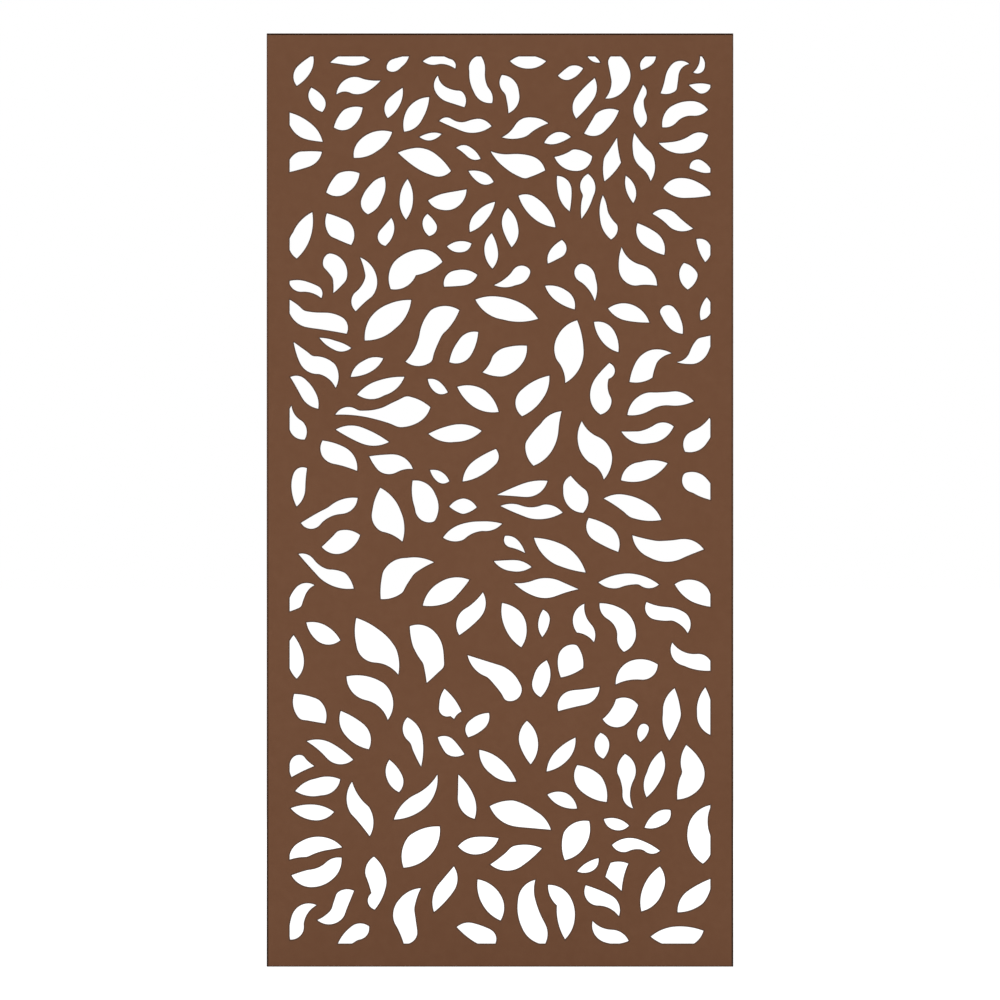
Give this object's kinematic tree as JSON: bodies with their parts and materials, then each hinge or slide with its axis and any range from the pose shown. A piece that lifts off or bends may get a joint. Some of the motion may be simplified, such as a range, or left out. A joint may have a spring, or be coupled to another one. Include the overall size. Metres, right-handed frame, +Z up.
{
  "type": "decorative screen panel",
  "caption": "Flat rectangular screen panel with a plain border and a field of scattered leaf-shaped cut-outs that go right through it.",
  "frame": {"origin": "middle of the panel's bottom edge, half way through its thickness", "axes": "+X along the width, +Z up along the height, the front face towards -Y"},
  "size_m": [0.6096, 0.0064, 1.2192],
  "materials": {
    "moulded_sheet": "matte brown polymer, the same colour right through"
  },
  "bodies": {
    "root": {"screen_panel": "moulded_sheet"}
  },
  "joints": []
}
